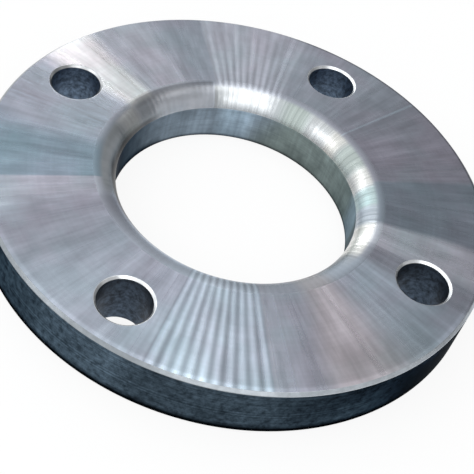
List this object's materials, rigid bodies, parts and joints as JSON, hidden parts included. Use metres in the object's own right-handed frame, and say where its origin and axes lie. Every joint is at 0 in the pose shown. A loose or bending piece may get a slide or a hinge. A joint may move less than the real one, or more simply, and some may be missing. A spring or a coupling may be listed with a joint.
{
  "type": "lap joint flange",
  "caption": "Loose steel pipe flange: a flat turned ring with a rounded inner corner for a lapped stub end, a central bore and bolt holes round it.",
  "frame": {"origin": "centre of the back face, where the axis of the bore meets it", "axes": "+Z along the axis of the bore, towards the lap face with the rounded corner; the bolt holes straddle the X and Y centre lines"},
  "size_m": [0.1906, 0.1906, 0.0223],
  "materials": {
    "turned_steel": "bare carbon steel, fine concentric turning marks, satin"
  },
  "bodies": {
    "root": {"flange_ring": "turned_steel"}
  },
  "joints": []
}
